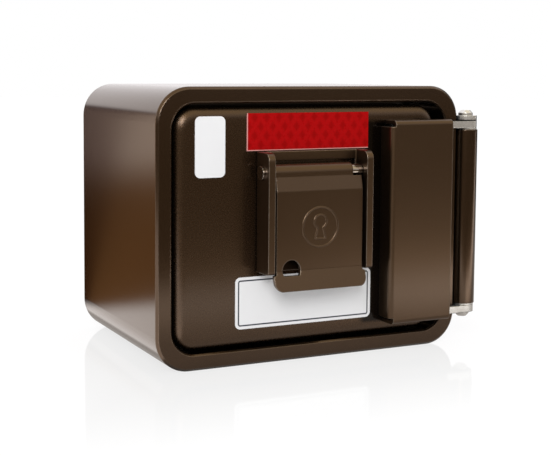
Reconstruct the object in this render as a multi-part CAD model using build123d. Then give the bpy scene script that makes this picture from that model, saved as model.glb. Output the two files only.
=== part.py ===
from build123d import *
import math
import os

# A small steel key box for a wall, with a hinged door, a flap over its lock and a sliding bolt.
# Lengths are millimetres. X points right, Y points back to the wall and Z points up.
# The origin is the centre of the back face. The rest pose is shut and unlocked.
# A depth is measured back from the front plane of the rim, so what stands proud has a negative one.

# Housing
body_width = 127.0
body_height = 101.6
body_depth = 82.55
body_corner_radius = 12.7
wall = 6.0
opening_corner_radius = 9.0
rim_outer_chamfer = 0.9
rim_inner_chamfer = 0.6
back_edge_chamfer = 0.8
back_plate_thickness = 6.35
mount_spacing_x = 76.2
mount_spacing_z = 50.8
mount_hole_diameter = 7.1
ledge_thickness = 4.8
ledge_overlap = 5.3
seam_fit = 0.05

# Door
door_thickness = 12.7
door_gap = 1.15
hinge_side_gap = 4.5
door_front_rounding = 3.5
door_back_chamfer = 0.6
gasket_inset = 1.0
gasket_width = 4.2
gasket_thickness = 3.0
gasket_clearance = 0.3

# Hinge
hinge_centre_z = -0.8
hinge_axis_depth = 1.6
barrel_diameter = 9.525
barrel_length = 69.0
weld_end_gap = 0.4
weld_leg = 5.6
weld_angle = 60.0
hinge_pin_diameter = 3.97
hinge_pin_clearance = 0.06
pin_collar_thickness = 2.0
pin_crown_diameter = 5.6
pin_crown_height = 2.1
pin_crown_side = 1.0
pin_crown_top = 3.6
pin_seat_fit = 0.04
washer_thickness = 0.7
thrust_clearance = 0.1
ear_thickness = 2.7
ear_wall_gap = 0.36
ear_rim_gap = 0.4
bracket_plate_thickness = 2.8
bracket_plate_width = 15.0

# Tray over the hinge bracket
tray_left = 28.2
tray_right = 55.8
tray_lap = 0.9
tray_proud = 7.6
tray_sheet = 1.5
tray_bend_radius = 1.8
tray_relief = 2.5
tray_clearance = 0.3

# Lock and the bent channel round it
lock_x = -3.3
lock_z = 0.0
channel_sheet = 2.6
channel_side_gap = 0.1
channel_top = 27.3
channel_bottom = -16.4
channel_proud = 10.6
channel_bend_radius = 1.4
channel_corner_radius = 3.0
channel_foot_radius = 1.2
channel_window_gap = 0.6
channel_window_bottom = -12.5

# Flap over the lock
flap_pin_diameter = 3.18
flap_pin_clearance = 0.08
flap_pin_depth = -5.3
flap_pin_z = 19.9
flap_pin_head_diameter = 5.0
flap_pin_head_thickness = 0.9
flap_sheet = 1.4
flap_panel_front = -9.4
flap_step_top = 18.4
flap_step_bottom = 13.2
flap_bend_z = -15.5
flap_shoulder_z = -16.8
flap_lip_bottom = -22.7
flap_lip_width = 37.8
flap_lip_shoulder = 1.1
flap_lip_angle = 17.0
flap_lip_corner_radius = 3.5
flap_curl_angle = 40.0
flap_roll_gap = 1.0
flap_notch_width = 3.6
flap_notch_bottom = 18.2
spacer_diameter = 4.6
spacer_clearance = 0.15
tag_hole_diameter = 7.4
tag_hole_side = 6.1
tag_hole_z = -15.2
tag_hole_foot = 2.0

# Lock cylinder
cylinder_head_diameter = 24.0
cylinder_head_proud = 2.6
cylinder_diameter = 19.0
cylinder_reach = 6.0
cylinder_fit = 0.05
lock_nut_across_flats = 24.0
lock_nut_thickness = 4.4
plug_diameter = 11.8
plug_clearance = 0.08
plug_proud = 0.4
keyway_width = 2.0
keyway_height = 8.4
keyway_ward = 1.2
keyway_depth = 13.0

# Crank on the plug, and the bolt that its pin drives
crank_radius = 6.0
crank_start_angle = 45.0
crank_disc_diameter = 19.0
crank_disc_thickness = 3.0
crank_gap = 0.3
drive_pin_diameter = 4.0
drive_pin_clearance = 0.3
bolt_thickness = 6.0
bolt_height = 12.0
bolt_left = -46.5
bolt_right = 30.0
bolt_gap = 0.4
bolt_chamfer = 0.8
yoke_width = 14.0
yoke_top = 12.0

# Straps that carry the bolt
guide_positions = {"left": -33.0, "right": 16.0}
guide_width = 10.0
guide_sheet = 2.5
guide_bend_radius = 0.8
guide_clearance = 0.3
guide_foot = 9.0

# Strip and labels on the door
strip_width = 50.8
strip_height = 13.6
strip_gap = 0.3
strip_thickness = 0.4
record_label_width = 57.0
record_label_height = 19.0
record_label_x = -4.5
record_label_z = -27.7
listing_label_width = 11.7
listing_label_height = 21.8
listing_label_side = 7.4
listing_label_top = 3.4
label_corner_radius = 2.0
label_thickness = 0.3

# Worked out from the sizes above
opening_width = body_width - 2 * wall
opening_height = body_height - 2 * wall
door_left = -opening_width / 2 + door_gap
door_right = opening_width / 2 - hinge_side_gap
door_width = door_right - door_left
door_height = opening_height - 2 * door_gap
door_centre_x = (door_left + door_right) / 2
door_corner_radius = opening_corner_radius - door_gap
ledge_depth = door_thickness + gasket_thickness + gasket_clearance
side_wall_x = body_width / 2
barrel_radius = barrel_diameter / 2
hinge_axis_x = side_wall_x + barrel_radius
ear_radius = barrel_radius - ear_wall_gap
ear_inner = barrel_length / 2 + washer_thickness + thrust_clearance
ear_outer = ear_inner + ear_thickness
tray_height = 2 * (ear_outer + tray_lap)
tray_inner_half = tray_height / 2 - tray_sheet
bracket_plate_left = tray_left + tray_sheet + tray_bend_radius
bracket_plate_right = bracket_plate_left + bracket_plate_width
arm_left = bracket_plate_right - ear_thickness
flap_width = flap_lip_width - 2 * flap_lip_shoulder
channel_width = flap_lip_width + 2 * (channel_side_gap + channel_sheet)
roll_inner = flap_pin_diameter / 2 + flap_pin_clearance
roll_middle = roll_inner + flap_sheet / 2
roll_top = flap_pin_z + roll_inner + flap_sheet
tag_hole_x = lock_x - flap_width / 2 + tag_hole_side
strip_bottom = channel_top + strip_gap
listing_label_x = door_left + listing_label_side + listing_label_width / 2
listing_label_z = door_height / 2 - listing_label_top - listing_label_height / 2
plug_back = door_thickness + cylinder_reach + crank_gap
crank_back = plug_back + crank_disc_thickness
bolt_front = crank_back + bolt_gap
bolt_back = bolt_front + bolt_thickness
drive_pin_x = lock_x + crank_radius * math.cos(math.radians(crank_start_angle))
drive_pin_z = lock_z + crank_radius * math.sin(math.radians(crank_start_angle))


def slab(outline, near, far):
    """An outline in X and Z, made solid between two depths."""
    plane = Plane(origin=(0, far - body_depth, 0), x_dir=(1, 0, 0), z_dir=(0, -1, 0))
    return extrude(plane * outline, amount=far - near)


def column(outline, low, high):
    """An outline in X and depth, made solid between two heights."""
    plane = Plane(origin=(0, -body_depth, low), x_dir=(1, 0, 0), z_dir=(0, 0, 1))
    return extrude(plane * outline, amount=high - low)


def beam(outline, left, right):
    """An outline in depth and Z, made solid between two places along X."""
    plane = Plane(origin=(left, -body_depth, 0), x_dir=(0, 1, 0), z_dir=(1, 0, 0))
    return extrude(plane * outline, amount=right - left)


def rectangle(left, right, low, high):
    """A rectangle given by its sides."""
    middle = Pos((left + right) / 2, (low + high) / 2)
    return middle * Rectangle(right - left, high - low)


def front_edges(solid):
    """The edges of the face of a solid that looks at the viewer."""
    return solid.faces().sort_by(Axis.Y)[0].edges()


def back_edges(solid):
    """The edges of the face of a solid that looks at the wall."""
    return solid.faces().sort_by(Axis.Y)[-1].edges()


def door_outline(inset):
    """The outline of the door, drawn in all round by an inset."""
    radius = max(door_corner_radius - inset, 1.0)
    outline = RectangleRounded(door_width - 2 * inset, door_height - 2 * inset, radius)
    return Pos(door_centre_x, 0) * outline


def opening_outline(inset):
    """The outline of the opening in the housing, drawn in all round by an inset."""
    width = opening_width - 2 * inset
    height = opening_height - 2 * inset
    return RectangleRounded(width, height, opening_corner_radius - inset)


def housing_shell():
    """The four walls, bent from plate, with an eased rim."""
    case = slab(RectangleRounded(body_width, body_height, body_corner_radius), 0, body_depth)
    case = chamfer(front_edges(case), rim_outer_chamfer)
    case = chamfer(back_edges(case), back_edge_chamfer)
    case -= slab(opening_outline(0), 0, body_depth)
    rim = case.faces().sort_by(Axis.Y)[0]
    return chamfer(rim.inner_wires()[0].edges(), rim_inner_chamfer)


def back_plate():
    """The rear wall, let into the housing, with its mounting holes."""
    plate = slab(opening_outline(seam_fit), body_depth - back_plate_thickness, body_depth)
    for place in GridLocations(mount_spacing_x, mount_spacing_z, 2, 2):
        hole = place * Circle(mount_hole_diameter / 2)
        plate -= slab(hole, body_depth - back_plate_thickness, body_depth)
    return plate


def gasket_ledge():
    """The frame in the housing that the door closes against and the bolt reaches behind."""
    frame = opening_outline(seam_fit) - door_outline(ledge_overlap)
    return slab(frame, ledge_depth, ledge_depth + ledge_thickness)


def hinge_barrel():
    """The tube that the pin turns in, welded along the side of the housing."""
    half = barrel_length / 2
    axis = Pos(hinge_axis_x, hinge_axis_depth)
    tube = column(axis * Circle(barrel_radius), hinge_centre_z - half, hinge_centre_z + half)
    angle = math.radians(weld_angle)
    toe_x = hinge_axis_x - barrel_radius * math.cos(angle)
    toe_depth = hinge_axis_depth + barrel_radius * math.sin(angle)
    weld = make_face(
        Polyline(
            (side_wall_x, hinge_axis_depth),
            (side_wall_x, hinge_axis_depth + weld_leg),
            (toe_x, toe_depth),
            (hinge_axis_x, hinge_axis_depth),
            close=True,
        )
    )
    weld_half = half - weld_end_gap
    tube += column(weld, hinge_centre_z - weld_half, hinge_centre_z + weld_half)
    bore = axis * Circle(hinge_pin_diameter / 2 + hinge_pin_clearance)
    return tube - column(bore, hinge_centre_z - half, hinge_centre_z + half)


def thrust_washer(side):
    """The washer between the barrel and one eye; side is 1 for the upper and -1 for the lower."""
    ring = Circle(ear_radius) - Circle(hinge_pin_diameter / 2 + hinge_pin_clearance)
    near = hinge_centre_z + side * barrel_length / 2
    far = near + side * washer_thickness
    return column(Pos(hinge_axis_x, hinge_axis_depth) * ring, min(near, far), max(near, far))


def hinge_pin():
    """The pin through the eyes and the barrel, with a collar above and a crown at both ends."""
    shaft = hinge_pin_diameter / 2
    crown = pin_crown_diameter / 2
    seat = ear_outer + pin_collar_thickness
    outline = make_face(
        Polyline(
            (0, -ear_outer - pin_crown_height),
            (pin_crown_top / 2, -ear_outer - pin_crown_height),
            (crown, -ear_outer - pin_crown_side),
            (crown, -ear_outer),
            (shaft, -ear_outer),
            (shaft, ear_outer),
            (ear_radius, ear_outer),
            (ear_radius, seat),
            (crown, seat),
            (crown, seat + pin_crown_side),
            (pin_crown_top / 2, seat + pin_crown_height),
            (0, seat + pin_crown_height),
            close=True,
        )
    )
    axis = Pos(hinge_axis_x, hinge_axis_depth - body_depth, hinge_centre_z)
    return axis * revolve(Plane.XZ * outline, Axis.Z)


def hinge_bracket():
    """The plate under the tray, with an arm and an eye above and below the barrel."""
    plate_half = tray_inner_half - tray_clearance
    plate = slab(
        rectangle(
            bracket_plate_left,
            bracket_plate_right,
            hinge_centre_z - plate_half,
            hinge_centre_z + plate_half,
        ),
        -bracket_plate_thickness,
        0,
    )
    eye = Pos(hinge_axis_x, hinge_axis_depth) * Circle(ear_radius)
    arm = rectangle(arm_left, hinge_axis_x, -bracket_plate_thickness, -ear_rim_gap) + eye
    arm -= Pos(hinge_axis_x, hinge_axis_depth) * Circle(hinge_pin_diameter / 2 + pin_seat_fit)
    bracket = plate
    for side in (1, -1):
        near = hinge_centre_z + side * ear_inner
        far = hinge_centre_z + side * ear_outer
        bracket += column(arm, min(near, far), max(near, far))
    return bracket


def tray_block(inset, radius):
    """The space that the tray takes, drawn in by an inset, with three of its front edges bent."""
    low = hinge_centre_z - tray_height / 2 + inset
    high = hinge_centre_z + tray_height / 2 - inset
    block = slab(rectangle(tray_left + inset, tray_right, low, high), inset - tray_proud, 0)
    return fillet(front_edges(block).sort_by(Axis.X)[:-1], radius)


def hinge_cover():
    """The tray folded from sheet, relieved at its left corners and notched for the arms."""
    tray = tray_block(0, tray_bend_radius) - tray_block(tray_sheet, tray_bend_radius - tray_sheet)
    for side in (1, -1):
        edge = hinge_centre_z + side * tray_height / 2
        inner = edge - side * tray_relief
        bend = tray_left + tray_bend_radius
        relief = rectangle(tray_left, bend, min(edge, inner), max(edge, inner))
        tray -= slab(relief, -tray_proud, 0)
    notch = rectangle(
        arm_left - tray_clearance,
        tray_right,
        hinge_centre_z - tray_height / 2,
        hinge_centre_z + tray_height / 2,
    )
    return tray - slab(notch, -bracket_plate_thickness - tray_clearance, 0)


def cover_bracket():
    """The channel bent round the lock, with the holes for the flap's pin in its flanges."""
    half = channel_width / 2
    outer = rectangle(-half, half, -channel_proud, 0)
    outer = fillet(outer.vertices().sort_by(Axis.Y)[-2:], channel_bend_radius)
    inner_half = half - channel_sheet
    inner = rectangle(-inner_half, inner_half, -channel_proud, -channel_sheet)
    inner = fillet(inner.vertices().sort_by(Axis.Y)[-2:], channel_foot_radius / 2)
    channel = column(Pos(lock_x, 0) * (outer - inner), channel_bottom, channel_top)
    side = FilletPolyline(
        (0, channel_bottom),
        (-channel_proud, channel_bottom),
        (-channel_proud, channel_top),
        (0, channel_top),
        radius=(0, channel_foot_radius, channel_corner_radius, 0),
        close=True,
    )
    channel &= beam(make_face(side), lock_x - half, lock_x + half)
    window_half = flap_width / 2 + channel_window_gap
    window = rectangle(
        lock_x - window_half,
        lock_x + window_half,
        channel_window_bottom,
        roll_top + flap_roll_gap,
    )
    channel -= slab(window, -channel_sheet - channel_foot_radius / 2, 0)
    hole = Pos(flap_pin_depth, flap_pin_z) * Circle(flap_pin_diameter / 2 + pin_seat_fit)
    return channel - beam(hole, lock_x - half, lock_x + half)


def cover_pin():
    """The pin that the flap turns on, headed outside both flanges."""
    half = channel_width / 2
    head_half = half + flap_pin_head_thickness
    axis = Pos(flap_pin_depth, flap_pin_z)
    pin = beam(axis * Circle(flap_pin_diameter / 2), lock_x - half, lock_x + half)
    for near, far in ((-head_half, -half), (half, head_half)):
        pin += beam(axis * Circle(flap_pin_head_diameter / 2), lock_x + near, lock_x + far)
    return pin


def flap_spacer():
    """The sleeve on the pin that fills the notch at the end of the flap's roll."""
    ring = Circle(spacer_diameter / 2) - Circle(flap_pin_diameter / 2 + pin_seat_fit)
    left = lock_x + flap_width / 2 - flap_notch_width + spacer_clearance
    right = lock_x + channel_width / 2 - channel_sheet - spacer_clearance
    return beam(Pos(flap_pin_depth, flap_pin_z) * ring, left, right)


def flap_middle_line():
    """The middle of the flap's sheet, seen from the side: a roll, a step, a panel and a lip."""
    hump_depth = flap_pin_depth - roll_middle
    panel_depth = flap_panel_front + flap_sheet / 2
    lip_drop = flap_bend_z - flap_lip_bottom
    lip_depth = panel_depth - lip_drop * math.tan(math.radians(flap_lip_angle))
    roll = CenterArc((flap_pin_depth, flap_pin_z), roll_middle, -flap_curl_angle, 180 + flap_curl_angle)
    fall = FilletPolyline(
        (hump_depth, flap_pin_z),
        (hump_depth, flap_step_top),
        (panel_depth, flap_step_bottom),
        (panel_depth, flap_bend_z),
        (lip_depth, flap_lip_bottom),
        radius=(flap_sheet, flap_sheet, flap_sheet),
    )
    return roll + fall


def lock_cover():
    """The flap over the lock: one sheet rolled round its pin, stepped and flared at the end."""
    half = flap_width / 2
    lip_half = flap_lip_width / 2
    side = trace(flap_middle_line(), flap_sheet)
    flap = beam(side, lock_x - lip_half, lock_x + lip_half)
    top = roll_top + flap_sheet
    shoulder_radius = flap_lip_shoulder / 2
    outline = FilletPolyline(
        (-half, top),
        (-half, flap_shoulder_z),
        (-lip_half, flap_shoulder_z),
        (-lip_half, flap_lip_bottom),
        (lip_half, flap_lip_bottom),
        (lip_half, flap_shoulder_z),
        (half, flap_shoulder_z),
        (half, top),
        radius=(
            0,
            shoulder_radius,
            shoulder_radius,
            flap_lip_corner_radius,
            flap_lip_corner_radius,
            shoulder_radius,
            shoulder_radius,
            0,
        ),
        close=True,
    )
    reach = channel_proud + flap_lip_width
    flap &= slab(Pos(lock_x, 0) * make_face(outline), -reach, 0)
    notch = rectangle(half - flap_notch_width, half, flap_notch_bottom, top)
    flap -= slab(Pos(lock_x, 0) * notch, -reach, 0)
    return flap - slab(tag_hole(), -reach, 0)


def tag_hole():
    """The hole for a tag, round above and flat at its foot."""
    radius = tag_hole_diameter / 2
    below = rectangle(-radius, radius, -radius, -tag_hole_foot)
    return Pos(tag_hole_x, tag_hole_z) * (Circle(radius) - below)


def lock_axis(outline):
    """An outline moved onto the axis of the lock."""
    return Pos(lock_x, lock_z) * outline


def lock_body():
    """The cylinder through the door, bored for the plug."""
    back = door_thickness + cylinder_reach
    head = slab(lock_axis(Circle(cylinder_head_diameter / 2)), -cylinder_head_proud, 0)
    body = head + slab(lock_axis(Circle(cylinder_diameter / 2)), 0, back)
    plug_bore = lock_axis(Circle(plug_diameter / 2 + plug_clearance))
    return body - slab(plug_bore, -cylinder_head_proud, back)


def lock_nut():
    """The thin hexagon nut that clamps the cylinder."""
    hexagon = RegularPolygon(lock_nut_across_flats / 2, 6, major_radius=False, rotation=30)
    hexagon -= Circle(cylinder_diameter / 2 + cylinder_fit)
    return slab(lock_axis(hexagon), door_thickness, door_thickness + lock_nut_thickness)


def lock_plug():
    """The core that the key turns, with its keyway at the front."""
    front = -cylinder_head_proud - plug_proud
    plug = slab(lock_axis(Circle(plug_diameter / 2)), front, plug_back)
    keyway = Rectangle(keyway_width, keyway_height)
    keyway += Pos(keyway_width / 2, keyway_height / 4) * Rectangle(keyway_ward, keyway_ward)
    keyway += Pos(-keyway_width / 2, -keyway_height / 6) * Rectangle(keyway_ward, keyway_ward)
    return plug - slab(lock_axis(keyway), front, front + keyway_depth)


def drive_crank():
    """The disc on the back of the plug, with the pin that drives the bolt."""
    disc = slab(lock_axis(Circle(crank_disc_diameter / 2)), plug_back, crank_back)
    drive_pin = Pos(drive_pin_x, drive_pin_z) * Circle(drive_pin_diameter / 2)
    return disc + slab(drive_pin, crank_back, bolt_back - bolt_gap)


def dead_bolt():
    """The sliding bolt, with an upright slot for the drive pin."""
    half = bolt_height / 2
    bar = rectangle(bolt_left, bolt_right, lock_z - half, lock_z + half)
    yoke_left = drive_pin_x - yoke_width / 2
    yoke_right = drive_pin_x + yoke_width / 2
    bar += rectangle(yoke_left, yoke_right, lock_z - half, lock_z + yoke_top)
    bolt = slab(bar, bolt_front, bolt_back)
    tip = bolt.edges().filter_by(Axis.Y).sort_by(Axis.X)[:2]
    bolt = chamfer(tip, bolt_chamfer)
    room = drive_pin_diameter / 2 + drive_pin_clearance
    low = drive_pin_z - room
    high = lock_z + crank_radius + room
    slot = rectangle(drive_pin_x - room, drive_pin_x + room, low + room, high - room)
    slot += Pos(drive_pin_x, low + room) * Circle(room)
    slot += Pos(drive_pin_x, high - room) * Circle(room)
    return bolt - slab(slot, bolt_front, bolt_back)


def bolt_guide(x):
    """A strap bent from sheet that holds the bolt against the back of the door."""
    leg = bolt_height / 2 + guide_clearance + guide_sheet / 2
    foot = leg + guide_sheet / 2 + guide_foot
    foot_depth = door_thickness + guide_sheet / 2
    bridge_depth = bolt_back + guide_clearance + guide_sheet / 2
    line = FilletPolyline(
        (foot_depth, lock_z + foot),
        (foot_depth, lock_z + leg),
        (bridge_depth, lock_z + leg),
        (bridge_depth, lock_z - leg),
        (foot_depth, lock_z - leg),
        (foot_depth, lock_z - foot),
        radius=guide_bend_radius + guide_sheet / 2,
    )
    return beam(trace(line, guide_sheet), x - guide_width / 2, x + guide_width / 2)


def door_plate():
    """The thick door, bored for the lock."""
    door = slab(door_outline(0), 0, door_thickness)
    door = fillet(front_edges(door), door_front_rounding)
    door = chamfer(back_edges(door), door_back_chamfer)
    return door - slab(lock_axis(Circle(cylinder_diameter / 2 + cylinder_fit)), 0, door_thickness)


def door_gasket():
    """The rubber frame on the back of the door."""
    frame = door_outline(gasket_inset) - door_outline(gasket_inset + gasket_width)
    return slab(frame, door_thickness, door_thickness + gasket_thickness)


def reflective_strip():
    """The strip above the lock."""
    outline = Pos(lock_x, strip_bottom + strip_height / 2) * Rectangle(strip_width, strip_height)
    return slab(outline, -strip_thickness, 0)


def label(width, height, x, z):
    """A thin label with rounded corners on the front of the door."""
    outline = Pos(x, z) * RectangleRounded(width, height, label_corner_radius)
    return slab(outline, -label_thickness, 0)


def build_nodes():
    """Every piece of the box, by its name."""
    nodes = {
        "housing_shell": housing_shell(),
        "back_plate": back_plate(),
        "gasket_ledge": gasket_ledge(),
        "hinge_barrel": hinge_barrel(),
        "thrust_washer_upper": thrust_washer(1),
        "thrust_washer_lower": thrust_washer(-1),
        "hinge_pin": hinge_pin(),
        "hinge_bracket": hinge_bracket(),
        "hinge_cover": hinge_cover(),
        "door_plate": door_plate(),
        "door_gasket": door_gasket(),
        "cover_bracket": cover_bracket(),
        "cover_pin": cover_pin(),
        "flap_spacer": flap_spacer(),
        "lock_cover": lock_cover(),
        "lock_body": lock_body(),
        "lock_nut": lock_nut(),
        "lock_plug": lock_plug(),
        "drive_crank": drive_crank(),
        "dead_bolt": dead_bolt(),
        "reflective_strip": reflective_strip(),
        "record_label": label(
            record_label_width, record_label_height, record_label_x, record_label_z
        ),
        "listing_label": label(
            listing_label_width, listing_label_height, listing_label_x, listing_label_z
        ),
    }
    for side, x in guide_positions.items():
        nodes[f"bolt_guide_{side}"] = bolt_guide(x)
    return nodes


os.makedirs("parts", exist_ok=True)
for name, shape in build_nodes().items():
    export_step(shape, f"parts/{name}.step")
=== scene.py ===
"""Looks for a small steel key box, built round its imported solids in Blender 4.5.

The solids arrive in metres with X to the right, Y back to the wall and Z up. This script gives
each of them a finish, adds the small screws and the pressed mark that the solids leave out, and
sets the studio and the camera. Lengths are in metres, and colours are linear.
"""

from __future__ import annotations

import logging
import math
from dataclasses import dataclass
from enum import Enum
from typing import Iterable, Protocol, Sequence

import bmesh
import bpy
from mathutils import Matrix, Vector


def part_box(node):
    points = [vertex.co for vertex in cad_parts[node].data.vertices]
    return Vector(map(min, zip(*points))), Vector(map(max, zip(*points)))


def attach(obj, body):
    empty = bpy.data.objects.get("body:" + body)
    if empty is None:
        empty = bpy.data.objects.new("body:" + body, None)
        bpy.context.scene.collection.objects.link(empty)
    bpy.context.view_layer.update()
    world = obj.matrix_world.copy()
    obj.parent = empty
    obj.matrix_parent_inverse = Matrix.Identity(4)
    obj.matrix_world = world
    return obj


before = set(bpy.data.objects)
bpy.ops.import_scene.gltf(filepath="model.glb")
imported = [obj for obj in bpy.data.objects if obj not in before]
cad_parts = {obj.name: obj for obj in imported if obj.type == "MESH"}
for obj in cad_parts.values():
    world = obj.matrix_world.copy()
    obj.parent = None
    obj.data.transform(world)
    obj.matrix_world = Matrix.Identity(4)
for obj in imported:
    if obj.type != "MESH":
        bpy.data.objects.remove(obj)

LOG = logging.getLogger("key_box")
MM = 0.001
PHOTO_WIDTH = 551
PHOTO_HEIGHT = 456

Colour = tuple[float, float, float]
Point = tuple[float, float, float]
Span = tuple[float, float]
Socket = bpy.types.NodeSocket

BEVEL_SAMPLES = 6
GAP_SAMPLES = 8
EDGE_SPAN: Span = (0.02, 0.22)
GAP_SPAN: Span = (0.18, 0.72)
WHITE: Colour = (1.0, 1.0, 1.0)
DARK_WALL: Colour = (0.070, 0.036, 0.046)
PALE_WALL: Colour = (1.15, 0.94, 0.78)


class Body(Enum):
    """The moving bodies that the added pieces ride on."""

    DOOR = "door"
    FLAP = "flap"


class Slot(Enum):
    """Two of the record's material slots."""

    SHEET_PAINT = "sheet_paint"
    ZINC_PLATE = "zinc_plate"


class Graph:
    """A short way to write a node tree."""

    def __init__(self, tree: bpy.types.NodeTree) -> None:
        """Empties a tree and keeps it.

        Args:
            tree: The node tree of a material or of the world.
        """
        self.tree = tree
        self.tree.nodes.clear()

    def node(self, kind: str, **settings: object) -> bpy.types.Node:
        """Adds a node.

        Args:
            kind: The node's type, such as ShaderNodeMath.
            settings: Properties of the node, by name.

        Returns:
            The new node.
        """
        made = self.tree.nodes.new(kind)
        for name, value in settings.items():
            setattr(made, name, value)
        return made

    def feed(self, socket: Socket, value: object) -> None:
        """Gives a socket a link, a number or a colour.

        Args:
            socket: The input to fill.
            value: An output socket to link, or a constant.
        """
        if isinstance(value, Socket):
            self.tree.links.new(value, socket)
        elif isinstance(value, (int, float)):
            socket.default_value = value
        elif len(value) == 3 and len(socket.default_value) == 4:
            socket.default_value = (*value, 1.0)
        else:
            socket.default_value = value

    def maths(self, operation: str, first: object, second: object = 0.0) -> Socket:
        """Works out one step of arithmetic.

        Args:
            operation: The name of a Math node's operation.
            first: A socket or number.
            second: A socket or number.

        Returns:
            The result.
        """
        made = self.node("ShaderNodeMath", operation=operation)
        self.feed(made.inputs[0], first)
        self.feed(made.inputs[1], second)
        return made.outputs[0]

    def rest_of(self, share: object) -> Socket:
        """What a share leaves of 1."""
        return self.maths("SUBTRACT", 1.0, share)

    def distance(self, value: object, middle: float) -> Socket:
        """How far a value is from a middle, on either side of it."""
        return self.maths("ABSOLUTE", self.maths("SUBTRACT", value, middle))

    def step(self, value: object, low: float, high: float) -> Socket:
        """Rises smoothly from 0 to 1 between two values.

        Args:
            value: The socket to read.
            low: Where the result is 0.
            high: Where the result is 1.

        Returns:
            The result.
        """
        made = self.node("ShaderNodeMapRange", interpolation_type="SMOOTHSTEP")
        self.feed(made.inputs["Value"], value)
        made.inputs["From Min"].default_value = low
        made.inputs["From Max"].default_value = high
        return made.outputs["Result"]

    def between(self, value: object, low: float, high: float) -> Socket:
        """Spreads a value from 0 to 1 over another range, in a straight line.

        Args:
            value: The socket to read.
            low: The result at 0.
            high: The result at 1.

        Returns:
            The result.
        """
        made = self.node("ShaderNodeMapRange")
        self.feed(made.inputs["Value"], value)
        made.inputs["To Min"].default_value = low
        made.inputs["To Max"].default_value = high
        return made.outputs["Result"]

    def mix(self, share: object, first: object, second: object) -> Socket:
        """Mixes two colours.

        Args:
            share: How much of the second colour there is.
            first: A colour or socket.
            second: A colour or socket.

        Returns:
            The mixed colour.
        """
        made = self.node("ShaderNodeMix", data_type="RGBA")
        self.feed(made.inputs["Factor"], share)
        self.feed(made.inputs[6], first)
        self.feed(made.inputs[7], second)
        return made.outputs[2]

    def scaled(self, colour: object, factor: object) -> Socket:
        """Multiplies a colour by a number.

        Args:
            colour: A colour or socket.
            factor: A number or socket.

        Returns:
            The darker or brighter colour.
        """
        made = self.node("ShaderNodeVectorMath", operation="SCALE")
        self.feed(made.inputs[0], colour)
        self.feed(made.inputs["Scale"], factor)
        return made.outputs["Vector"]

    def place(self) -> Socket:
        """The point on the object, in metres, in the frame of the box."""
        return self.node("ShaderNodeTexCoord").outputs["Object"]

    def split(self, vector: Socket) -> tuple[Socket, Socket, Socket]:
        """The X, Y and Z of a vector.

        Args:
            vector: The vector.

        Returns:
            Its three parts.
        """
        made = self.node("ShaderNodeSeparateXYZ")
        self.feed(made.inputs[0], vector)
        return made.outputs["X"], made.outputs["Y"], made.outputs["Z"]

    def stretched(self, vector: Socket, scale: Point) -> Socket:
        """Scales a vector along each axis.

        Args:
            vector: The socket to scale.
            scale: The three factors.

        Returns:
            The scaled vector.
        """
        made = self.node("ShaderNodeMapping")
        self.feed(made.inputs["Vector"], vector)
        made.inputs["Scale"].default_value = scale
        return made.outputs["Vector"]

    def noise(self, vector: Socket, size: float, detail: float = 2.0) -> Socket:
        """A smooth random pattern.

        Args:
            vector: Where it is read.
            size: About the size of its lumps.
            detail: How many finer layers it has.

        Returns:
            A value from 0 to 1.
        """
        made = self.node("ShaderNodeTexNoise")
        self.feed(made.inputs["Vector"], vector)
        made.inputs["Scale"].default_value = 1.0 / size
        made.inputs["Detail"].default_value = detail
        return made.outputs["Fac"]

    def bump(
        self, height: object, strength: float, depth: float, normal: Socket | None = None
    ) -> Socket:
        """Turns a height into a change of the normal.

        Args:
            height: The socket with the height.
            strength: How much of the bump shows.
            depth: How deep it is.
            normal: The normal that it starts from.

        Returns:
            The new normal.
        """
        made = self.node("ShaderNodeBump")
        made.inputs["Strength"].default_value = strength
        made.inputs["Distance"].default_value = depth
        self.feed(made.inputs["Height"], height)
        if normal is not None:
            self.feed(made.inputs["Normal"], normal)
        return made.outputs["Normal"]

    def softened(self, radius: float) -> Socket:
        """The normal, rounded over the sharp edges.

        Args:
            radius: The rounding's radius.

        Returns:
            The normal.
        """
        made = self.node("ShaderNodeBevel", samples=BEVEL_SAMPLES)
        made.inputs["Radius"].default_value = radius
        return made.outputs["Normal"]

    def edges(self, radius: float) -> Socket:
        """How near a point is to a sharp edge.

        Args:
            radius: How far the edge reaches.

        Returns:
            0 on a flat face, rising towards 1 at an edge.
        """
        plain = self.node("ShaderNodeNewGeometry").outputs["Normal"]
        dot = self.node("ShaderNodeVectorMath", operation="DOT_PRODUCT")
        self.feed(dot.inputs[0], plain)
        self.feed(dot.inputs[1], self.softened(radius))
        return self.step(self.rest_of(dot.outputs["Value"]), *EDGE_SPAN)

    def painted_gap_shade(self, reach: float, floor: float) -> Socket:
        """How open a point is, for the painted shade that darkens gaps and inside corners.

        Args:
            reach: How near another surface has to be to count.
            floor: The result at the bottom of a deep gap.

        Returns:
            1 in the open, falling to the floor value in a gap.
        """
        made = self.node("ShaderNodeAmbientOcclusion", samples=GAP_SAMPLES)
        made.inputs["Distance"].default_value = reach
        return self.between(self.step(made.outputs["AO"], *GAP_SPAN), floor, 1.0)


def shares(size: float, span: Span) -> Span:
    """Two lengths, given as shares of a size."""
    return size * span[0], size * span[1]


def micron(length: float) -> float:
    """A length from the frame, rounded to a micron."""
    return round(length, 6)


def new_material(name: str) -> tuple[bpy.types.Material, Graph]:
    """Starts a material.

    Args:
        name: The material's name.

    Returns:
        The material, and a graph for its empty tree.
    """
    material = bpy.data.materials.new(name)
    material.use_nodes = True
    return material, Graph(material.node_tree)


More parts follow.
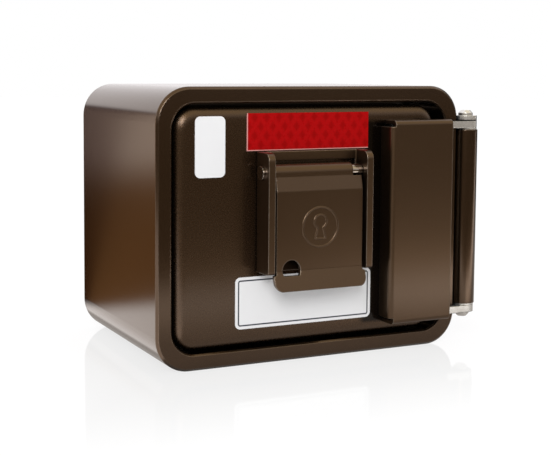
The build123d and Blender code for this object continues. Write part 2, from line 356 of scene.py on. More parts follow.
def close_material(graph: Graph, settings: dict[str, object]) -> None:
    """Ends a material with one Principled shader.

    Args:
        graph: The material's graph.
        settings: The shader's inputs, by name.
    """
    shader = graph.node("ShaderNodeBsdfPrincipled")
    for name, value in settings.items():
        graph.feed(shader.inputs[name], value)
    output = graph.node("ShaderNodeOutputMaterial")
    graph.feed(output.inputs["Surface"], shader.outputs["BSDF"])


class Finish(Protocol):
    """What every finish can do."""

    def make(self) -> bpy.types.Material:
        """Builds the finish's material."""


@dataclass(frozen=True)
class CoverShade:
    """The deep shade on the door's face between the lock's channel and the hinge's tray."""

    start_x: float
    face_y: float
    middle_z: float
    half_height: float
    fade_x: float = 0.0035
    fade_y: float = 0.0004
    fade_z: float = 0.001
    darkest: float = 0.10

    def openness(self, graph: Graph, place: Socket) -> Socket:
        """How clear a point is of the shade.

        Args:
            graph: The material's graph.
            place: The point on the object.

        Returns:
            1 in the open, falling to the darkest value in the shade.
        """
        x, y, z = graph.split(place)
        aside = graph.step(x, self.start_x, self.start_x + self.fade_x)
        face = graph.step(y, self.face_y + self.fade_y, self.face_y)
        away = graph.distance(z, self.middle_z)
        beyond = graph.step(away, self.half_height - self.fade_z, self.half_height + self.fade_z)
        level = graph.maths("MULTIPLY", face, graph.rest_of(beyond))
        return graph.between(graph.maths("MULTIPLY", aside, level), 1.0, self.darkest)


@dataclass(frozen=True)
class PowderCoat:
    """A bronze powder coat with metal flake under a clear skin."""

    name: str
    base: Colour = (0.080, 0.047, 0.026)
    fleck: Colour = (0.150, 0.100, 0.062)
    worn_highlight: Colour = (0.50, 0.44, 0.37)
    metal: float = 0.94
    roughness: float = 0.27
    roughness_span: Span = (-0.05, 0.05)
    skin: float = 0.50
    skin_roughness: float = 0.10
    skin_index: float = 1.5
    rounding: float = 0.0005
    grain_size: float = 0.0007
    grain_detail: float = 4.0
    grain_bump: float = 0.03
    grain_depth: float = 0.00004
    fleck_size: float = 0.00042
    fleck_detail: float = 1.0
    fleck_span: Span = (0.60, 0.74)
    fleck_share: float = 0.20
    cloud_size: float = 0.030
    cloud_share: float = 0.22
    peel_size: float = 0.0016
    peel_bump: float = 0.05
    peel_depth: float = 0.00012
    # The edges are lightened partly as wear and partly as a painted highlight.
    edge_reach: float = 0.0006
    edge_wear_highlight: float = 0.85
    # Gaps and inside corners get painted shade.
    gap_reach: float = 0.010
    gap_shade: float = 0.18
    cover_shade: CoverShade | None = None

    def make(self) -> bpy.types.Material:
        """Builds the coat from its colour, its grain and its clear skin.

        Returns:
            The material.
        """
        material, graph = new_material(self.name)
        place = graph.place()
        grain = graph.noise(place, self.grain_size, self.grain_detail)
        uneven = graph.between(grain, *self.roughness_span)
        normal = self.surface(graph, place, grain)
        close_material(
            graph,
            {
                "Base Color": self.colour(graph, place, grain),
                "Metallic": self.metal,
                "Roughness": graph.maths("ADD", uneven, self.roughness),
                "Normal": normal,
                "Coat Weight": self.skin,
                "Coat Roughness": self.skin_roughness,
                "Coat IOR": self.skin_index,
                "Coat Normal": normal,
            },
        )
        return material

    def colour(self, graph: Graph, place: Socket, grain: Socket) -> Socket:
        """The coat's colour, with flecks, cloudiness, edges lightened as wear and as a painted
        highlight, and painted shade in gaps.

        Args:
            graph: The material's graph.
            place: The point on the object.
            grain: The coat's fine pattern.

        Returns:
            The colour.
        """
        cloud = graph.between(graph.noise(place, self.cloud_size), 0.0, self.cloud_share)
        clouded = graph.mix(cloud, self.base, self.fleck)
        spots = graph.noise(place, self.fleck_size, self.fleck_detail)
        flecks = graph.step(spots, *self.fleck_span)
        share = graph.maths("MULTIPLY", flecks, self.fleck_share)
        speckled = graph.mix(share, clouded, self.fleck)
        # Edges lightened partly as wear and partly as a painted highlight.
        wear = graph.maths("MULTIPLY", graph.edges(self.edge_reach), self.edge_wear_highlight)
        coat = graph.mix(graph.maths("MULTIPLY", wear, grain), speckled, self.worn_highlight)
        # Painted shade: the colour darkens in gaps and inside corners.
        colour = graph.scaled(coat, graph.painted_gap_shade(self.gap_reach, self.gap_shade))
        if self.cover_shade is not None:
            colour = graph.scaled(colour, self.cover_shade.openness(graph, place))
        return colour

    def surface(self, graph: Graph, place: Socket, grain: Socket) -> Socket:
        """The coat's normal, with its rounded edges, its grain and its orange peel.

        Args:
            graph: The material's graph.
            place: The point on the object.
            grain: The coat's fine pattern.

        Returns:
            The normal.
        """
        smooth = graph.softened(self.rounding)
        grained = graph.bump(grain, self.grain_bump, self.grain_depth, smooth)
        peel = graph.noise(place, self.peel_size)
        return graph.bump(peel, self.peel_bump, self.peel_depth, grained)


@dataclass(frozen=True)
class BareMetal:
    """A bare or plated metal with fine machining marks along one axis."""

    name: str
    base: Colour
    shade: Colour
    roughness: float = 0.20
    roughness_span: Span = (-0.07, 0.09)
    metal: float = 0.80
    detail: float = 3.0
    marks: Point = (1.0, 1.0, 14.0)
    mark_size: float = 0.0024
    mark_share: float = 0.25
    mark_bump: float = 0.12
    mark_depth: float = 0.000008
    stain_size: float = 0.006
    stain_span: Span = (0.45, 0.75)
    stain_share: float = 0.45
    rounding: float = 0.0003
    # Painted shade in gaps, and painted shade lines at the seams.
    gap_reach: float = 0.005
    gap_shade: float = 0.10
    shaded_seams: tuple[float, ...] = ()
    seam_half: float = 0.00026
    seam_span: Span = (0.7, 1.4)
    seam_shade: float = 0.04

    def make(self) -> bpy.types.Material:
        """Builds the metal, with its marks, its uneven shine, its darker stains, and painted shade
        in its gaps and along its seam lines.

        Returns:
            The material.
        """
        material, graph = new_material(self.name)
        place = graph.place()
        marks = graph.noise(graph.stretched(place, self.marks), self.mark_size, self.detail)
        uneven = graph.between(marks, *self.roughness_span)
        stains = graph.step(graph.noise(place, self.stain_size, self.detail), *self.stain_span)
        stained = graph.maths("MULTIPLY", stains, self.stain_share)
        colour = graph.mix(stained, self.base, self.shade)
        colour = graph.mix(graph.between(marks, 0.0, self.mark_share), colour, self.shade)
        # Painted shade in gaps, then painted shade lines at the seams.
        colour = graph.scaled(colour, graph.painted_gap_shade(self.gap_reach, self.gap_shade))
        for height in self.shaded_seams:
            colour = graph.scaled(colour, self.openness(graph, place, height))
        smooth = graph.softened(self.rounding)
        close_material(
            graph,
            {
                "Base Color": colour,
                "Metallic": self.metal,
                "Roughness": graph.maths("ADD", uneven, self.roughness),
                "Normal": graph.bump(marks, self.mark_bump, self.mark_depth, smooth),
            },
        )
        return material

    def openness(self, graph: Graph, place: Socket, height: float) -> Socket:
        """How clear a point is of a painted shade line at a seam.

        Args:
            graph: The material's graph.
            place: The point on the object.
            height: The seam's place along Z.

        Returns:
            1 away from the seam and near 0 in it.
        """
        away = graph.distance(graph.split(place)[2], height)
        clear = graph.step(away, *shares(self.seam_half, self.seam_span))
        return graph.between(clear, self.seam_shade, 1.0)


@dataclass(frozen=True)
class Rubber:
    """A moulded rubber, matt, with a dusty bloom."""

    name: str
    base: Colour = (0.018, 0.018, 0.019)
    bloom: Colour = (0.060, 0.058, 0.055)
    roughness_span: Span = (0.68, 0.88)
    bloom_size: float = 0.004
    bloom_detail: float = 4.0
    bloom_span: Span = (0.45, 0.85)
    bloom_share: float = 0.6
    pit_size: float = 0.0003
    pit_bump: float = 0.3
    pit_depth: float = 0.00003
    rounding: float = 0.0003

    def make(self) -> bpy.types.Material:
        """Builds the rubber, with its bloom and its fine pitting.

        Returns:
            The material.
        """
        material, graph = new_material(self.name)
        place = graph.place()
        clouds = graph.noise(place, self.bloom_size, self.bloom_detail)
        bloom = graph.step(clouds, *self.bloom_span)
        share = graph.maths("MULTIPLY", bloom, self.bloom_share)
        pits = graph.noise(place, self.pit_size)
        smooth = graph.softened(self.rounding)
        close_material(
            graph,
            {
                "Base Color": graph.mix(share, self.base, self.bloom),
                "Roughness": graph.between(pits, *self.roughness_span),
                "Normal": graph.bump(pits, self.pit_bump, self.pit_depth, smooth),
            },
        )
        return material


@dataclass(frozen=True)
class PrismFilm:
    """A red reflective film with a lattice of small prisms and a pale cut edge."""

    name: str
    low: Point
    red: Colour = (0.44, 0.0020, 0.0028)
    deep: Colour = (0.32, 0.0006, 0.0008)
    edge: Colour = (0.80, 0.42, 0.38)
    edge_share: float = 0.8
    edge_width: float = 0.00040
    edge_span: Span = (0.5, 1.0)
    pitch: float = 0.0066
    slope: float = 1.35
    bar_span: Span = (-0.75, 0.95)
    lattice_bump: float = 0.15
    lattice_depth: float = 0.00004
    mottle_size: float = 0.0009
    mottle_span: Span = (0.35, 1.15)
    roughness_span: Span = (0.24, 0.34)
    shine: float = 0.08

    def make(self) -> bpy.types.Material:
        """Builds the film from its lattice, its edge and its smooth face.

        Returns:
            The material.
        """
        material, graph = new_material(self.name)
        place = graph.place()
        x, _, z = graph.split(place)
        lattice = graph.maths("MAXIMUM", self.bars(graph, x, z, 1.0), self.bars(graph, x, z, -1.0))
        mottle = graph.noise(place, self.mottle_size)
        shade = graph.maths("MULTIPLY", lattice, graph.between(mottle, *self.mottle_span))
        face = graph.mix(shade, self.deep, self.red)
        rim = graph.maths("MULTIPLY", self.rim(graph, x, z), self.edge_share)
        close_material(
            graph,
            {
                "Base Color": graph.mix(rim, face, self.edge),
                "Roughness": graph.between(mottle, *self.roughness_span),
                "Specular IOR Level": self.shine,
                "Normal": graph.bump(lattice, self.lattice_bump, self.lattice_depth),
            },
        )
        return material

    def bars(self, graph: Graph, x: Socket, z: Socket, lean: float) -> Socket:
        """One set of the lattice's slanted bars.

        Args:
            graph: The material's graph.
            x: The place along X.
            z: The height.
            lean: 1 for bars that lean one way and -1 for the other.

        Returns:
            1 on a bar and 0 between bars.
        """
        across = graph.maths("MULTIPLY", x, self.slope)
        slant = graph.maths("ADD", across, graph.maths("MULTIPLY", z, lean))
        wave = graph.maths("SINE", graph.maths("MULTIPLY", slant, 2 * math.pi / self.pitch))
        return graph.step(wave, *self.bar_span)

    def rim(self, graph: Graph, x: Socket, z: Socket) -> Socket:
        """Where the film's cut edge shows pale.

        Args:
            graph: The material's graph.
            x: The place along X.
            z: The height.

        Returns:
            1 at the left and lower edges and 0 elsewhere.
        """
        left = graph.maths("SUBTRACT", x, self.low[0])
        foot = graph.maths("SUBTRACT", z, self.low[2])
        near = graph.maths("MINIMUM", left, foot)
        return graph.rest_of(graph.step(near, *shares(self.edge_width, self.edge_span)))


@dataclass(frozen=True)
class LabelFilm:
    """A bare white film with rounded corners and, where it has one, a thin ruled border."""

    name: str
    low: Point
    high: Point
    ruled: bool = True
    corner: float = 0.0020
    inset: float = 0.0013
    line: float = 0.00052
    line_span: Span = (0.35, 0.65)
    white: Colour = (0.90, 0.90, 0.91)
    ink: Colour = (0.020, 0.026, 0.042)
    dull: float = 0.93
    mottle_size: float = 0.006
    mottle_detail: float = 3.0
    mottle_share: float = 0.35
    roughness_span: Span = (0.30, 0.42)
    fibre_size: float = 0.0012
    fibre_bump: float = 0.05
    fibre_depth: float = 0.00003
    skin: float = 0.25
    skin_roughness: float = 0.15

    def make(self) -> bpy.types.Material:
        """Builds the film, with its border and a slight unevenness.

        Returns:
            The material.
        """
        material, graph = new_material(self.name)
        place = graph.place()
        mottle = graph.noise(place, self.mottle_size, self.mottle_detail)
        dull_white = tuple(self.dull * value for value in self.white)
        share = graph.between(mottle, 0.0, self.mottle_share)
        colour = graph.mix(share, self.white, dull_white)
        if self.ruled:
            colour = graph.mix(self.border(graph, place), colour, self.ink)
        fibre = graph.noise(place, self.fibre_size)
        close_material(
            graph,
            {
                "Base Color": colour,
                "Roughness": graph.between(mottle, *self.roughness_span),
                "Normal": graph.bump(fibre, self.fibre_bump, self.fibre_depth),
                "Coat Weight": self.skin,
                "Coat Roughness": self.skin_roughness,
            },
        )
        return material

    def border(self, graph: Graph, place: Socket) -> Socket:
        """Where the ruled border is.

        Args:
            graph: The material's graph.
            place: The point on the film.

        Returns:
            1 on its line and 0 elsewhere.
        """
        x, _, z = graph.split(place)
        away = graph.distance(self.depth_inside(graph, x, z), self.inset)
        return graph.rest_of(graph.step(away, *shares(self.line, self.line_span)))

    def depth_inside(self, graph: Graph, x: Socket, z: Socket) -> Socket:
        """How far a point is inside the film's rounded outline.

        Args:
            graph: The material's graph.
            x: The place along X.
            z: The height.

        Returns:
            The distance, 0 at the outline.
        """
        past: list[Socket] = []
        for value, axis in ((x, 0), (z, 2)):
            centre = (self.low[axis] + self.high[axis]) / 2
            half = (self.high[axis] - self.low[axis]) / 2 - self.corner
            past.append(graph.maths("SUBTRACT", graph.distance(value, centre), half))
        squares = [graph.maths("POWER", graph.maths("MAXIMUM", value, 0.0), 2.0) for value in past]
        outside = graph.maths("SQRT", graph.maths("ADD", squares[0], squares[1]))
        inside = graph.maths("MINIMUM", graph.maths("MAXIMUM", past[0], past[1]), 0.0)
        return graph.maths("SUBTRACT", self.corner, graph.maths("ADD", outside, inside))


def dress(nodes: Iterable[str], finish: Finish) -> bpy.types.Material:
    """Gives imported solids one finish.

    Args:
        nodes: The names of the solids.
        finish: The finish that they wear.

    Returns:
        The finish's material.
    """
    material = finish.make()
    for node in nodes:
        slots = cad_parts[node].data.materials
        slots.clear()
        slots.append(material)
        LOG.info("dressed %s in %s", node, material.name)
    return material


def add_piece(
    name: str, mesh: bmesh.types.BMesh, body: Body, material: bpy.types.Material
) -> None:
    """Makes a piece of the box from a mesh and fixes it to a body.

    Args:
        name: The piece's name.
        mesh: Its mesh, in the frame of the box.
        body: The body that it moves with.
        material: The material that it wears.
    """
    data = bpy.data.meshes.new(name)
    bmesh.ops.recalc_face_normals(mesh, faces=mesh.faces)
    mesh.to_mesh(data)
    mesh.free()
    for face in data.polygons:
        face.use_smooth = True
    data.materials.append(material)
    piece = bpy.data.objects.new(name, data)
    bpy.context.scene.collection.objects.link(piece)
    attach(piece, body.value)
    LOG.info("built %s on %s", name, body.value)


def loft(mesh: bmesh.types.BMesh, rings: Sequence[Sequence[Vector]]) -> None:
    """Joins closed rings of points into one skin, and closes its two ends.

    Args:
        mesh: The mesh that takes the faces.
        rings: Rings with the same number of points.
    """
    rows = [[mesh.verts.new(point) for point in ring] for ring in rings]
    count = len(rows[0])
    for lower, upper in zip(rows, rows[1:]):
        for index in range(count):
            following = (index + 1) % count
            mesh.faces.new((lower[index], lower[following], upper[following], upper[index]))
    mesh.faces.new(list(reversed(rows[0])))
    mesh.faces.new(rows[-1])


@dataclass
class Housing:
    """The shell, its back plate and ledge, and the barrel welded to its side."""

    paint: PowderCoat
    steel: BareMetal

    def build(self) -> None:
        """Dresses the housing's solids."""
        painted = ("housing_shell", "back_plate", "gasket_ledge", "hinge_barrel")
        dress(painted, self.paint)
        dress(("thrust_washer_upper", "thrust_washer_lower"), self.steel)


@dataclass
class Door:
    """The door with its gasket, and the tray, bracket and pin of its hinge."""

    paint: PowderCoat
    sheet: PowderCoat
    steel: BareMetal
    rubber: Rubber

    def build(self) -> None:
        """Dresses the door and its hinge."""
        dress(("door_plate",), self.paint)
        dress(("hinge_cover",), self.sheet)
        dress(("door_gasket",), self.rubber)
        dress(("hinge_bracket", "hinge_pin"), self.steel)


@dataclass
class LockCover:
    """The channel round the lock, its pin, and the flap with its pressed mark."""

    sheet: PowderCoat
    pin_steel: BareMetal
    mark_z: float = 0.0
    panel_front: float = -91.95 * MM
    ring_radius: float = 7.2 * MM
    ring_steps: int = 72
    eye_radius: float = 2.5 * MM
    eye_rise: float = 1.984 * MM
    eye_half_gap: float = math.radians(28)
    eye_steps: int = 30
    leg_flare: float = 2.1 * MM
    leg_length: float = 6.2 * MM
    leg_steps: int = 10
    ridge_width: float = 0.9 * MM
    ridge_height: float = 0.28 * MM
    ridge_sink: float = 0.04 * MM
    ridge_steps: int = 6

    def build(self) -> None:
        """Dresses the cover and presses the mark into its flap."""
        sheet = dress(("cover_bracket", "lock_cover"), self.sheet)
        dress(("cover_pin", "flap_spacer"), self.pin_steel)
        low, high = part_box("lock_cover")
        mark_x = micron((low.x + high.x) / 2)
        mesh = bmesh.new()
        self.ridge(mesh, self.ring_line(mark_x))
        self.ridge(mesh, self.keyhole_line(mark_x))
        add_piece("flap_pressed_mark", mesh, Body.FLAP, sheet)

    def ring_line(self, mark_x: float) -> list[Vector]:
        """The middle of the mark's ring, as points in X and Z.

        Args:
            mark_x: The mark's place along X.

        Returns:
            The closed line.
        """
        turns = [2 * math.pi * step / self.ring_steps for step in range(self.ring_steps)]
        centre = Vector((mark_x, self.mark_z))
        return [centre + self.ring_radius * Vector((math.cos(a), math.sin(a))) for a in turns]

    def keyhole_line(self, mark_x: float) -> list[Vector]:
        """The outline of the mark's keyhole: a round eye, open below, over a flared leg.

        Args:
            mark_x: The mark's place along X.

        Returns:
            The closed line.
        """
        centre = Vector((mark_x, self.mark_z + self.eye_rise))
        start = self.eye_half_gap - math.pi / 2
        sweep = 2 * math.pi - 2 * self.eye_half_gap
        turns = [start + sweep * step / self.eye_steps for step in range(self.eye_steps + 1)]
        line = [centre + self.eye_radius * Vector((math.cos(a), math.sin(a))) for a in turns]
        corners = [
            line[-1],
            centre + Vector((-self.leg_flare, -self.leg_length)),
            centre + Vector((self.leg_flare, -self.leg_length)),
            line[0],
        ]
        for first, second in zip(corners, corners[1:]):
            line += [first.lerp(second, step / self.leg_steps) for step in range(1, self.leg_steps)]
            if second is not corners[-1]:
                line.append(second)
        return line

    def ridge(self, mesh: bmesh.types.BMesh, line: Sequence[Vector]) -> None:
        """Adds a low rounded ridge along a closed line on the flap's panel.

        Args:
            mesh: The mesh that takes the ridge.
            line: The closed line, as points in X and Z.
        """
        profile = [math.pi * step / self.ridge_steps for step in range(self.ridge_steps + 1)]
        foot = self.panel_front + self.ridge_sink
        rows: list[list[bmesh.types.BMVert]] = []
        for index, here in enumerate(line):
            run = (line[(index + 1) % len(line)] - line[index - 1]).normalized()
            row = []
            for angle in profile:
                across = math.cos(angle) * self.ridge_width / 2
                rise = math.sin(angle) * self.ridge_height
                point = (here.x + run.y * across, foot - rise, here.y - run.x * across)
                row.append(mesh.verts.new(point))
            rows.append(row)
        for first, second in zip(rows, rows[1:] + rows[:1]):
            for step in range(self.ridge_steps):
                mesh.faces.new((first[step], first[step + 1], second[step + 1], second[step]))


@dataclass
class LockWorks:
    """The cylinder and plug, and the crank, bolt and guides behind the door."""

    nickel: BareMetal
    brass: BareMetal
    zinc: BareMetal
    guides: tuple[str, ...] = ("bolt_guide_left", "bolt_guide_right")
    flange: float = 2.5 * MM
    screw_offset: float = 13.3 * MM
    head_radius: float = 3.4 * MM
    head_height: float = 2.1 * MM
    head_profile: tuple[Span, ...] = (
        (1.0, 0.0),
        (1.0, 0.35),
        (0.96, 0.58),
        (0.82, 0.83),
        (0.60, 0.96),
    )
    socket_across: float = 2.5 * MM
    socket_mouth: float = 2.65 * MM
    socket_chamfer: float = 0.1 * MM
    socket_depth: float = 1.2 * MM
    around: int = 48

    def build(self) -> None:
        """Dresses the works and adds the screws of the two guides."""
        dress(("lock_body", "lock_nut"), self.nickel)
        dress(("lock_plug",), self.brass)
        zinc = dress(("drive_crank", "dead_bolt", *self.guides), self.zinc)
        mesh = bmesh.new()
        for guide in self.guides:
            low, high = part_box(guide)
            x, seat = micron((low.x + high.x) / 2), micron(low.y + self.flange)
            for side in (1, -1):
                self.screw_head(mesh, (x, seat, side * self.screw_offset))
        add_piece("guide_screw_heads", mesh, Body.DOOR, zinc)

    def circle(self, centre: Point, radius: float) -> list[Vector]:
        """A ring of points round one screw.

        Args:
            centre: The ring's centre.
            radius: The ring's radius.

        Returns:
            The points.
        """
        x, y, z = centre
        turns = [2 * math.pi * step / self.around for step in range(self.around)]
        return [Vector((x + radius * math.cos(a), y, z + radius * math.sin(a))) for a in turns]

    def hexagon(self, centre: Point, across: float) -> list[Vector]:
        """A ring of points on a hexagon, in step with the circles.

        Args:
            centre: The ring's centre.
            across: The hexagon's size across its flats.

        Returns:
            The points.
        """
        x, y, z = centre
        points = []
        for step in range(self.around):
            angle = 2 * math.pi * step / self.around
            inside = (angle % (math.pi / 3)) - math.pi / 6
            radius = across / 2 / math.cos(inside)
            points.append(Vector((x + radius * math.cos(angle), y, z + radius * math.sin(angle))))
        return points

    def screw_head(self, mesh: bmesh.types.BMesh, place: Point) -> None:
        """Adds one button head with a six-sided socket.

        Args:
            mesh: The mesh that takes the head.
            place: The middle of the head's foot.
        """
        x, seat, z = place
        rings = [
            self.circle((x, seat + self.head_height * height, z), self.head_radius * width)
            for width, height in self.head_profile
        ]
        top = seat + self.head_height
        rings.append(self.hexagon((x, top, z), self.socket_mouth))
        rings.append(self.hexagon((x, top - self.socket_chamfer, z), self.socket_across))
        rings.append(self.hexagon((x, top - self.socket_depth, z), self.socket_across))
        loft(mesh, rings)


@dataclass
class Markings:
    """The reflective strip and the two bare labels."""

    strip: str = "reflective_strip"
    record: str = "record_label"
    listing: str = "listing_label"

    def build(self) -> None:
        """Dresses the strip and the labels."""
        low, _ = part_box(self.strip)
        dress((self.strip,), PrismFilm("prism_film", tuple(low)))
        low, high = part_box(self.record)
        dress((self.record,), LabelFilm("record_film", tuple(low), tuple(high)))
        low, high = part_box(self.listing)
        film = LabelFilm("listing_film", tuple(low), tuple(high), ruled=False)
        dress((self.listing,), film)


@dataclass(frozen=True)
class Surround:
    """The world: plain white to the eye, and a soft room to what the metal reflects.

    The room has a dark and a pale wall behind the box, a dark end on the right, and a front that
    grows lighter with height. Each span is a stretch of the ray's direction along one axis.
    """

    ambient: float = 0.62
    high_wall: Colour = (1.12, 1.08, 1.09)
    dark_end: Colour = (0.02, 0.015, 0.010)
    front_low: Colour = (0.27, 0.23, 0.19)
    front_middle: Colour = (0.80, 0.76, 0.73)
    front_high: Colour = (0.95, 0.82, 0.57)
    pale_x: Span = (-0.340, -0.358)
    left_x: Span = (0.05, -0.15)
    end_x: Span = (0.72, 0.90)
    front_y: Span = (0.15, -0.20)
    high_z: Span = (0.13, 0.20)
    front_middle_z: Span = (0.05, 0.24)
    front_high_z: Span = (0.30, 0.48)

    def build(self) -> None:
        """Builds the world and its background."""
        world = bpy.data.worlds.new("studio")
        bpy.context.scene.world = world
        world.use_nodes = True
        graph = Graph(world.node_tree)
        rays = graph.node("ShaderNodeLightPath").outputs
        plain = (self.ambient, self.ambient, self.ambient)
        colour = graph.mix(rays["Is Glossy Ray"], plain, self.room(graph))
        seen = graph.maths("MAXIMUM", rays["Is Camera Ray"], rays["Is Transmission Ray"])
        background = graph.node("ShaderNodeBackground")
        graph.feed(background.inputs["Color"], graph.mix(seen, colour, WHITE))
        output = graph.node("ShaderNodeOutputWorld")
        graph.feed(output.inputs["Surface"], background.outputs["Background"])
        LOG.info("set the surround")

    def room(self, graph: Graph) -> Socket:
        """The room's colour in the ray's direction.

        Args:
            graph: The world's graph.

        Returns:
            The colour.
        """
        x, y, z = graph.split(graph.node("ShaderNodeTexCoord").outputs["Generated"])
        wall = graph.mix(graph.step(x, *self.pale_x), DARK_WALL, PALE_WALL)
        low = graph.rest_of(graph.step(z, *self.high_z))
        low_left = graph.maths("MULTIPLY", graph.step(x, *self.left_x), low)
        back = graph.mix(low_left, self.high_wall, wall)
        back = graph.mix(graph.step(x, *self.end_x), back, self.dark_end)
        front = graph.mix(graph.step(z, *self.front_middle_z), self.front_low, self.front_middle)
        front = graph.mix(graph.step(z, *self.front_high_z), front, self.front_high)
        return graph.mix(graph.step(y, *self.front_y), back, front)


@dataclass(frozen=True)
class Floor:
    """The floor: white to the eye, with a faint mirror image and shadow of the box.

    Glossy rays find pale and dark zones on it instead, which give the box its reflections. A
    name that ends in x or y is a stretch along that axis, and side_slope is X over Y from the
    case's edge.
    """

    radius: float = 4.0
    segments: int = 96
    glow: Span = (0.755, 0.93)
    shade: float = 0.14
    mirror: float = 0.14
    mirror_reach: float = 0.11
    mirror_roughness: float = 0.06
    bounce: float = 0.80
    dark_near: Colour = (0.030, 0.008, 0.002)
    pale_near: Colour = (0.29, 0.135, 0.047)
    hidden: Colour = (0.008, 0.006, 0.004)
    foot: Colour = (0.50, 0.46, 0.43)
    bright: Colour = (1.20, 1.13, 1.06)
    beside: Colour = (1.40, 1.34, 1.31)
    ahead: Colour = (0.15, 0.105, 0.06)
    tray_gain: float = 2.3
    side_slope: Span = (-0.360, -0.382)
    nearest_y: float = 0.05
    hidden_x: Span = (0.04, 0.12)
    tray_x: Span = (0.045, 0.090)
    beside_x: Span = (-0.0625, -0.0650)
    far_y: Span = (0.45, 1.0)
    behind_y: Span = (0.014, 0.052)
    bright_y: Span = (-0.122, -0.195)
    ahead_y: Span = (-0.185, -0.275)

    def build(self) -> None:
        """Lays the floor under the housing."""
        low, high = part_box("housing_shell")
        mesh = bmesh.new()
        bmesh.ops.create_circle(mesh, cap_ends=True, radius=self.radius, segments=self.segments)
        data = bpy.data.meshes.new("floor")
        mesh.to_mesh(data)
        mesh.free()
        floor = bpy.data.objects.new("floor", data)
        floor.location.z = low.z
        bpy.context.scene.collection.objects.link(floor)
        data.materials.append(self.material(high.x, low.y))
        LOG.info("laid the floor")

    def material(self, side_wall: float, front_face: float) -> bpy.types.Material:
        """The floor's material.

        Args:
            side_wall: How far the case's side is from its middle.
            front_face: The place of the case's front along Y.

        Returns:
            The material.
        """
        material, graph = new_material("floor_sheet")
        rays = graph.node("ShaderNodeLightPath").outputs
        x, y, _ = graph.split(graph.place())
        surround = graph.node("ShaderNodeEmission")
        graph.feed(surround.inputs["Color"], self.zones(graph, x, y, side_wall))
        pale = self.diffuse(graph, self.bounce)
        unseen = self.chosen(graph, rays["Is Glossy Ray"], pale, surround)
        eye = self.seen(graph, x, y, side_wall, front_face)
        result = self.chosen(graph, rays["Is Camera Ray"], unseen, eye)
        output = graph.node("ShaderNodeOutputMaterial")
        graph.feed(output.inputs["Surface"], result.outputs[0])
        return material

    def seen(
        self, graph: Graph, x: Socket, y: Socket, side_wall: float, front_face: float
    ) -> bpy.types.Node:
        """What the eye sees: a glow, a shadow and a mirror image that fades with distance.

        Args:
            graph: The material's graph.
            x: The place along X.
            y: The place along Y.
            side_wall: How far the case's side is from its middle.
            front_face: The place of the case's front along Y.

        Returns:
            The shader.
        """
        aside = graph.maths("SUBTRACT", graph.maths("ABSOLUTE", x), side_wall)
        before = graph.maths("SUBTRACT", front_face, y)
        apart = graph.maths("MAXIMUM", aside, graph.maths("MAXIMUM", before, y))
        away = graph.step(apart, 0.0, self.mirror_reach)
        glow = graph.node("ShaderNodeEmission")
        graph.feed(glow.inputs["Color"], WHITE)
        graph.feed(glow.inputs["Strength"], graph.between(away, *self.glow))
        mirror = graph.node("ShaderNodeBsdfGlossy")
        graph.feed(mirror.inputs["Color"], graph.between(away, self.mirror, 0.0))
        mirror.inputs["Roughness"].default_value = self.mirror_roughness
        shaded = self.added(graph, glow, self.diffuse(graph, self.shade))
        return self.added(graph, shaded, mirror)

    def zones(self, graph: Graph, x: Socket, y: Socket, side_wall: float) -> Socket:
        """What glossy rays find on the floor.

        Args:
            graph: The material's graph.
            x: The place along X.
            y: The place along Y.
            side_wall: How far the case's side is from its middle.

        Returns:
            The colour.
        """
        past = graph.maths("ADD", x, side_wall)
        slope = graph.maths("DIVIDE", past, graph.maths("MAXIMUM", y, self.nearest_y))
        side = graph.step(slope, *self.side_slope)
        near = graph.mix(side, self.dark_near, self.pale_near)
        far = graph.mix(side, DARK_WALL, PALE_WALL)
        back = graph.mix(graph.step(y, *self.far_y), near, far)
        back = graph.mix(graph.step(x, *self.hidden_x), back, self.hidden)
        gain = graph.between(graph.step(x, *self.tray_x), 1.0, self.tray_gain)
        bright = graph.scaled(self.bright, gain)
        sheet = graph.mix(graph.step(y, *self.bright_y), self.foot, bright)
        sheet = graph.mix(graph.step(x, *self.beside_x), sheet, self.beside)
        colour = graph.mix(graph.step(y, *self.behind_y), sheet, back)
        return graph.mix(graph.step(y, *self.ahead_y), colour, self.ahead)

    def diffuse(self, graph: Graph, level: float) -> bpy.types.Node:
        """A matt grey shader.

        Args:
            graph: The material's graph.
            level: How pale it is.

        Returns:
            The node that makes it.
        """
        made = graph.node("ShaderNodeBsdfDiffuse")
        graph.feed(made.inputs["Color"], (level, level, level))
        return made

    def added(self, graph: Graph, first: bpy.types.Node, second: bpy.types.Node) -> bpy.types.Node:
        """Adds two shaders.

        Args:
            graph: The material's graph.
            first: One shader.
            second: The other shader.

        Returns:
            The node that adds them.
        """
        made = graph.node("ShaderNodeAddShader")
        graph.feed(made.inputs[0], first.outputs[0])
        graph.feed(made.inputs[1], second.outputs[0])
        return made

    def chosen(
        self, graph: Graph, test: Socket, no: bpy.types.Node, yes: bpy.types.Node
    ) -> bpy.types.Node:
        """Chooses between two shaders.

        Args:
            graph: The material's graph.
            test: 0 for the first shader and 1 for the second.
            no: The first shader.
            yes: The second shader.

        Returns:
            The node that chooses.
        """
        made = graph.node("ShaderNodeMixShader")
        graph.feed(made.inputs[0], test)
        graph.feed(made.inputs[1], no.outputs[0])
        graph.feed(made.inputs[2], yes.outputs[0])
        return made


@dataclass(frozen=True)
class Lamp:
    """One large soft lamp, high on the left in front of the box."""

    size: float = 0.8
    energy: float = 12.0
    place: Point = (-0.75, -1.25, 0.75)
    target: Point = (0.0, -0.04, 0.0)

    def build(self) -> None:
        """Hangs the lamp and points it at the box."""
        data = bpy.data.lights.new("soft_lamp", "AREA")
        data.shape = "DISK"
        data.size = self.size
        data.energy = self.energy
        lamp = bpy.data.objects.new("soft_lamp", data)
        lamp.location = self.place
        aim = Vector(self.target) - lamp.location
        lamp.rotation_mode = "QUATERNION"
        lamp.rotation_quaternion = aim.to_track_quat("-Z", "Y")
        bpy.context.scene.collection.objects.link(lamp)
        LOG.info("hung the lamp")


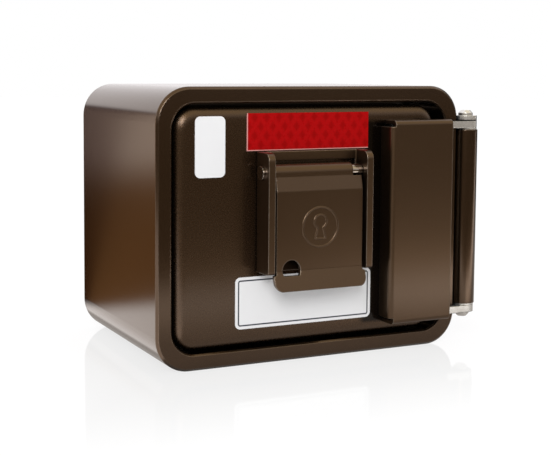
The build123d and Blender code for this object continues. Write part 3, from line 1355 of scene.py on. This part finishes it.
@dataclass(frozen=True)
class PhotoCamera:
    """The camera, at the place and angle of the photograph's. Its sensor's width is in mm."""

    place: Point = (-0.206880, -0.448576, 0.056245)
    yaw: float = 0.43301
    pitch: float = -0.07823
    roll: float = 0.00421
    focal_pixels: float = 1135.6275
    principal: tuple[float, float] = (223.794, 160.0)
    sensor_width: float = 36.0
    clip: Span = (0.01, 20.0)

    def build(self) -> None:
        """Sets the camera."""
        data = bpy.data.cameras.new("camera")
        data.sensor_width = self.sensor_width
        data.lens = self.focal_pixels * self.sensor_width / PHOTO_WIDTH
        data.shift_x = (PHOTO_WIDTH / 2 - self.principal[0]) / PHOTO_WIDTH
        data.shift_y = (self.principal[1] - PHOTO_HEIGHT / 2) / PHOTO_WIDTH
        data.clip_start, data.clip_end = self.clip
        camera = bpy.data.objects.new("camera", data)
        turn = Matrix.Rotation(-self.yaw, 4, "Z")
        nod = Matrix.Rotation(math.pi / 2 + self.pitch, 4, "X")
        lean = Matrix.Rotation(self.roll, 4, "Z")
        camera.matrix_world = Matrix.Translation(self.place) @ turn @ nod @ lean
        bpy.context.scene.collection.objects.link(camera)
        bpy.context.scene.camera = camera
        LOG.info("set the camera")


def tray_shade() -> CoverShade:
    """The shade on the door's face, from the channel's side as far as the tray reaches.

    Returns:
        The shade.
    """
    clear_x, clear_y, clear_z = 0.2 * MM, 0.35 * MM, 0.4 * MM
    _, channel_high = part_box("cover_bracket")
    door_low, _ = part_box("door_plate")
    tray_low, tray_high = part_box("hinge_cover")
    return CoverShade(
        start_x=channel_high.x + clear_x,
        face_y=door_low.y + clear_y,
        middle_z=(tray_low.z + tray_high.z) / 2,
        half_height=(tray_high.z - tray_low.z) / 2 - clear_z,
    )


def shaded_collar_seams() -> tuple[float, float]:
    """The painted shade lines where the hinge pin's two collars meet their eyes.

    Returns:
        Their heights.
    """
    beyond = 0.15 * MM
    low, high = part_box("hinge_bracket")
    return high.z + beyond, low.z - beyond


def build_looks() -> None:
    """Dresses every solid and adds the small pieces that the solids leave out."""
    bright, dull = (0.80, 0.79, 0.76), (0.52, 0.50, 0.46)
    case = PowderCoat("bronze_case_coat", roughness=0.20)
    door = PowderCoat(
        "bronze_door_coat",
        rounding=0.0030,
        gap_reach=0.006,
        gap_shade=0.62,
        cover_shade=tray_shade(),
    )
    sheet = PowderCoat(
        "bronze_sheet_coat",
        base=(0.092, 0.055, 0.030),
        roughness=0.34,
        skin=0.35,
        skin_roughness=0.16,
    )
    steel = BareMetal("bright_stainless", bright, dull, metal=0.74)
    hinge_steel = BareMetal("hinge_stainless", bright, dull, metal=0.74, shaded_seams=shaded_collar_seams())
    pin_steel = BareMetal(
        "pin_steel", (0.42, 0.38, 0.34), (0.22, 0.19, 0.16), roughness=0.15, metal=1.0
    )
    nickel = BareMetal("nickel_plate", (0.62, 0.60, 0.56), (0.45, 0.43, 0.40), roughness=0.18)
    brass = BareMetal("satin_brass", (0.66, 0.48, 0.21), (0.40, 0.27, 0.11), roughness=0.26)
    zinc = BareMetal("zinc_plate", (0.52, 0.53, 0.52), (0.34, 0.34, 0.31), roughness=0.34)
    Housing(case, steel).build()
    Door(door, sheet, hinge_steel, Rubber("black_rubber")).build()
    LockCover(sheet, pin_steel).build()
    LockWorks(nickel, brass, zinc).build()
    Markings().build()


def build_studio() -> None:
    """Sets the surround, the floor, the lamp and the camera."""
    for part in (Surround(), Floor(), Lamp(), PhotoCamera()):
        part.build()
    bpy.context.scene.view_settings.view_transform = "Standard"


def corners(box: Iterable[Vector]) -> list[list[float]]:
    """A box as plain lists of numbers.

    Args:
        box: Its lowest and highest corners.

    Returns:
        The two corners.
    """
    return [[float(value) for value in corner] for corner in box]


def main() -> None:
    """Builds the looks of the whole box."""
    logging.basicConfig(level=logging.INFO, format="%(name)s: %(message)s")
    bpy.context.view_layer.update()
    build_looks()
    build_studio()


if __name__ == "__main__":
    main()
